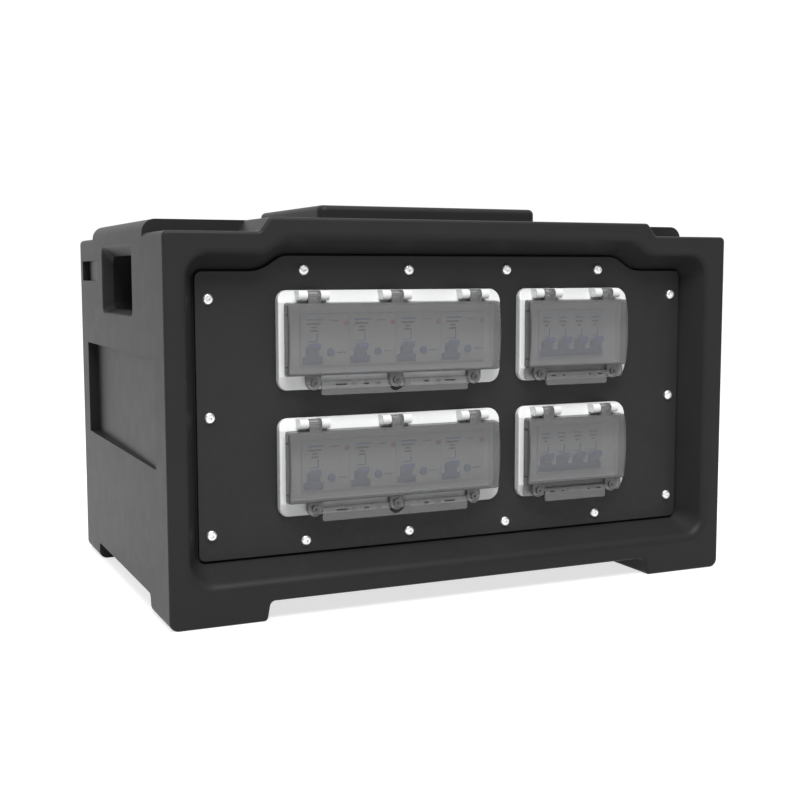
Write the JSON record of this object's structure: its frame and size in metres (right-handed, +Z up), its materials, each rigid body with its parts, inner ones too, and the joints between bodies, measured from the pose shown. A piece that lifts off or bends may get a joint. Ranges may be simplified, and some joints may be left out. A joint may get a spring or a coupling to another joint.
{
  "type": "portable power distribution box",
  "caption": "Stackable moulded power distribution box: recessed breaker panel with smoked hinged windows at the front, socket panel at the rear, hand pockets in both sides.",
  "frame": {"origin": "centre of the footprint, on the surface that the feet stand on", "axes": "+X to the right seen from the breaker side, +Y from the breaker side to the socket side, +Z up"},
  "size_m": [0.56, 0.364, 0.358],
  "materials": {
    "housing_plastic": "moulded polyethylene, satin",
    "panel_paint": "powder-coated steel, satin black",
    "seal_rubber": "foam rubber",
    "stainless": "stainless fasteners",
    "dark_steel": "black-oxide screws",
    "brass": "turned brass",
    "frame_white": "white moulded plastic",
    "lid_smoke": "smoked clear polycarbonate",
    "breaker_white": "white breaker moulding",
    "toggle_blue": "blue moulded levers",
    "zinc_steel": "zinc-plated steel",
    "copper": "copper",
    "insulator": "grey insulating plastic",
    "socket_red": "red moulded plastic",
    "socket_black": "black moulded plastic"
  },
  "bodies": {
    "box": {"bar_posts": "insulator", "comb_busbars": "copper", "din_rails": "zinc_steel", "earth_bar": "brass", "five_pin_outlets": "socket_red", "front_panel": "panel_paint", "housing": "housing_plastic", "inlet_body": "socket_red", "inlet_pins": "brass", "mcb_body_lower": "breaker_white", "mcb_body_upper": "breaker_white", "neutral_bar": "brass", "panel_gaskets": "seal_rubber", "panel_inserts": "brass", "panel_screws": "stainless", "rail_brackets": "zinc_steel", "rcbo_bodies_lower": "breaker_white", "rcbo_bodies_upper": "breaker_white", "rear_panel": "panel_paint", "single_phase_outlets": "socket_black", "socket_hinge_pins": "stainless", "window_frame_lower_narrow": "frame_white", "window_frame_lower_wide": "frame_white", "window_frame_upper_narrow": "frame_white", "window_frame_upper_wide": "frame_white", "window_hinge_pins": "stainless"},
    "lid_upper_wide": {"window_lid_upper_wide": "lid_smoke", "lid_screws_upper_wide": "dark_steel"},
    "latch_upper_wide": {"window_latch_upper_wide": "lid_smoke"},
    "lid_upper_narrow": {"window_lid_upper_narrow": "lid_smoke", "lid_screws_upper_narrow": "dark_steel"},
    "latch_upper_narrow": {"window_latch_upper_narrow": "lid_smoke"},
    "lid_lower_wide": {"window_lid_lower_wide": "lid_smoke", "lid_screws_lower_wide": "dark_steel"},
    "latch_lower_wide": {"window_latch_lower_wide": "lid_smoke"},
    "lid_lower_narrow": {"window_lid_lower_narrow": "lid_smoke", "lid_screws_lower_narrow": "dark_steel"},
    "latch_lower_narrow": {"window_latch_lower_narrow": "lid_smoke"},
    "mcb_handle_upper": {"mcb_handle_upper": "toggle_blue"},
    "rcbo_toggle_upper_1": {"rcbo_toggle_upper_1": "toggle_blue"},
    "test_button_upper_1": {"test_button_upper_1": "toggle_blue"},
    "rcbo_toggle_upper_2": {"rcbo_toggle_upper_2": "toggle_blue"},
    "test_button_upper_2": {"test_button_upper_2": "toggle_blue"},
    "rcbo_toggle_upper_3": {"rcbo_toggle_upper_3": "toggle_blue"},
    "test_button_upper_3": {"test_button_upper_3": "toggle_blue"},
    "rcbo_toggle_upper_4": {"rcbo_toggle_upper_4": "toggle_blue"},
    "test_button_upper_4": {"test_button_upper_4": "toggle_blue"},
    "mcb_handle_lower": {"mcb_handle_lower": "toggle_blue"},
    "rcbo_toggle_lower_1": {"rcbo_toggle_lower_1": "toggle_blue"},
    "test_button_lower_1": {"test_button_lower_1": "toggle_blue"},
    "rcbo_toggle_lower_2": {"rcbo_toggle_lower_2": "toggle_blue"},
    "test_button_lower_2": {"test_button_lower_2": "toggle_blue"},
    "rcbo_toggle_lower_3": {"rcbo_toggle_lower_3": "toggle_blue"},
    "test_button_lower_3": {"test_button_lower_3": "toggle_blue"},
    "rcbo_toggle_lower_4": {"rcbo_toggle_lower_4": "toggle_blue"},
    "test_button_lower_4": {"test_button_lower_4": "toggle_blue"},
    "outlet_lid_upper": {"outlet_lid_upper": "socket_red"},
    "outlet_lid_lower": {"outlet_lid_lower": "socket_red"},
    "inlet_lid": {"inlet_lid": "socket_red"}
  },
  "joints": [
    {"name": "lid_upper_wide_hinge", "type": "hinge", "parent": "box", "child": "lid_upper_wide", "pos_m": [-0.068, -0.1653, 0.2765], "axis": [-1, 0, 0], "range_deg": [0, 120]},
    {"name": "latch_upper_wide_hinge", "type": "hinge", "parent": "lid_upper_wide", "child": "latch_upper_wide", "pos_m": [-0.068, -0.165, 0.2005], "axis": [-1, 0, 0], "range_deg": [0, 80]},
    {"name": "lid_upper_narrow_hinge", "type": "hinge", "parent": "box", "child": "lid_upper_narrow", "pos_m": [0.1202, -0.1653, 0.2765], "axis": [-1, 0, 0], "range_deg": [0, 120]},
    {"name": "latch_upper_narrow_hinge", "type": "hinge", "parent": "lid_upper_narrow", "child": "latch_upper_narrow", "pos_m": [0.1202, -0.165, 0.2005], "axis": [-1, 0, 0], "range_deg": [0, 80]},
    {"name": "lid_lower_wide_hinge", "type": "hinge", "parent": "box", "child": "lid_lower_wide", "pos_m": [-0.068, -0.1653, 0.1657], "axis": [-1, 0, 0], "range_deg": [0, 120]},
    {"name": "latch_lower_wide_hinge", "type": "hinge", "parent": "lid_lower_wide", "child": "latch_lower_wide", "pos_m": [-0.068, -0.165, 0.0897], "axis": [-1, 0, 0], "range_deg": [0, 80]},
    {"name": "lid_lower_narrow_hinge", "type": "hinge", "parent": "box", "child": "lid_lower_narrow", "pos_m": [0.1202, -0.1653, 0.1657], "axis": [-1, 0, 0], "range_deg": [0, 120]},
    {"name": "latch_lower_narrow_hinge", "type": "hinge", "parent": "lid_lower_narrow", "child": "latch_lower_narrow", "pos_m": [0.1202, -0.165, 0.0897], "axis": [-1, 0, 0], "range_deg": [0, 80]},
    {"name": "mcb_handle_upper_hinge", "type": "hinge", "parent": "box", "child": "mcb_handle_upper", "pos_m": [0.1202, -0.1487, 0.2222], "axis": [1, 0, 0], "range_deg": [0, 50]},
    {"name": "rcbo_toggle_upper_1_hinge", "type": "hinge", "parent": "box", "child": "rcbo_toggle_upper_1", "pos_m": [-0.1437, -0.1487, 0.2222], "axis": [1, 0, 0], "range_deg": [0, 50]},
    {"name": "test_button_upper_1_slide", "type": "slide", "parent": "box", "child": "test_button_upper_1", "axis": [0, 1, 0], "range_m": [0, 0.0015], "stiffness_N_per_m": 300},
    {"name": "rcbo_toggle_upper_2_hinge", "type": "hinge", "parent": "box", "child": "rcbo_toggle_upper_2", "pos_m": [-0.0987, -0.1487, 0.2222], "axis": [1, 0, 0], "range_deg": [0, 50]},
    {"name": "test_button_upper_2_slide", "type": "slide", "parent": "box", "child": "test_button_upper_2", "axis": [0, 1, 0], "range_m": [0, 0.0015], "stiffness_N_per_m": 300},
    {"name": "rcbo_toggle_upper_3_hinge", "type": "hinge", "parent": "box", "child": "rcbo_toggle_upper_3", "pos_m": [-0.0537, -0.1487, 0.2222], "axis": [1, 0, 0], "range_deg": [0, 50]},
    {"name": "test_button_upper_3_slide", "type": "slide", "parent": "box", "child": "test_button_upper_3", "axis": [0, 1, 0], "range_m": [0, 0.0015], "stiffness_N_per_m": 300},
    {"name": "rcbo_toggle_upper_4_hinge", "type": "hinge", "parent": "box", "child": "rcbo_toggle_upper_4", "pos_m": [-0.0087, -0.1487, 0.2222], "axis": [1, 0, 0], "range_deg": [0, 50]},
    {"name": "test_button_upper_4_slide", "type": "slide", "parent": "box", "child": "test_button_upper_4", "axis": [0, 1, 0], "range_m": [0, 0.0015], "stiffness_N_per_m": 300},
    {"name": "mcb_handle_lower_hinge", "type": "hinge", "parent": "box", "child": "mcb_handle_lower", "pos_m": [0.1202, -0.1487, 0.1114], "axis": [1, 0, 0], "range_deg": [0, 50]},
    {"name": "rcbo_toggle_lower_1_hinge", "type": "hinge", "parent": "box", "child": "rcbo_toggle_lower_1", "pos_m": [-0.1437, -0.1487, 0.1114], "axis": [1, 0, 0], "range_deg": [0, 50]},
    {"name": "test_button_lower_1_slide", "type": "slide", "parent": "box", "child": "test_button_lower_1", "axis": [0, 1, 0], "range_m": [0, 0.0015], "stiffness_N_per_m": 300},
    {"name": "rcbo_toggle_lower_2_hinge", "type": "hinge", "parent": "box", "child": "rcbo_toggle_lower_2", "pos_m": [-0.0987, -0.1487, 0.1114], "axis": [1, 0, 0], "range_deg": [0, 50]},
    {"name": "test_button_lower_2_slide", "type": "slide", "parent": "box", "child": "test_button_lower_2", "axis": [0, 1, 0], "range_m": [0, 0.0015], "stiffness_N_per_m": 300},
    {"name": "rcbo_toggle_lower_3_hinge", "type": "hinge", "parent": "box", "child": "rcbo_toggle_lower_3", "pos_m": [-0.0537, -0.1487, 0.1114], "axis": [1, 0, 0], "range_deg": [0, 50]},
    {"name": "test_button_lower_3_slide", "type": "slide", "parent": "box", "child": "test_button_lower_3", "axis": [0, 1, 0], "range_m": [0, 0.0015], "stiffness_N_per_m": 300},
    {"name": "rcbo_toggle_lower_4_hinge", "type": "hinge", "parent": "box", "child": "rcbo_toggle_lower_4", "pos_m": [-0.0087, -0.1487, 0.1114], "axis": [1, 0, 0], "range_deg": [0, 50]},
    {"name": "test_button_lower_4_slide", "type": "slide", "parent": "box", "child": "test_button_lower_4", "axis": [0, 1, 0], "range_m": [0, 0.0015], "stiffness_N_per_m": 300},
    {"name": "outlet_lid_upper_hinge", "type": "hinge", "parent": "box", "child": "outlet_lid_upper", "pos_m": [0.045, 0.1592, 0.268], "axis": [1, 0, 0], "range_deg": [0, 100], "stiffness_Nm_per_rad": 0.03},
    {"name": "outlet_lid_lower_hinge", "type": "hinge", "parent": "box", "child": "outlet_lid_lower", "pos_m": [0.045, 0.1592, 0.158], "axis": [1, 0, 0], "range_deg": [0, 100], "stiffness_Nm_per_rad": 0.03},
    {"name": "inlet_lid_hinge", "type": "hinge", "parent": "box", "child": "inlet_lid", "pos_m": [0.16, 0.1692, 0.222], "axis": [1, 0, 0], "range_deg": [0, 100], "stiffness_Nm_per_rad": 0.05}
  ]
}
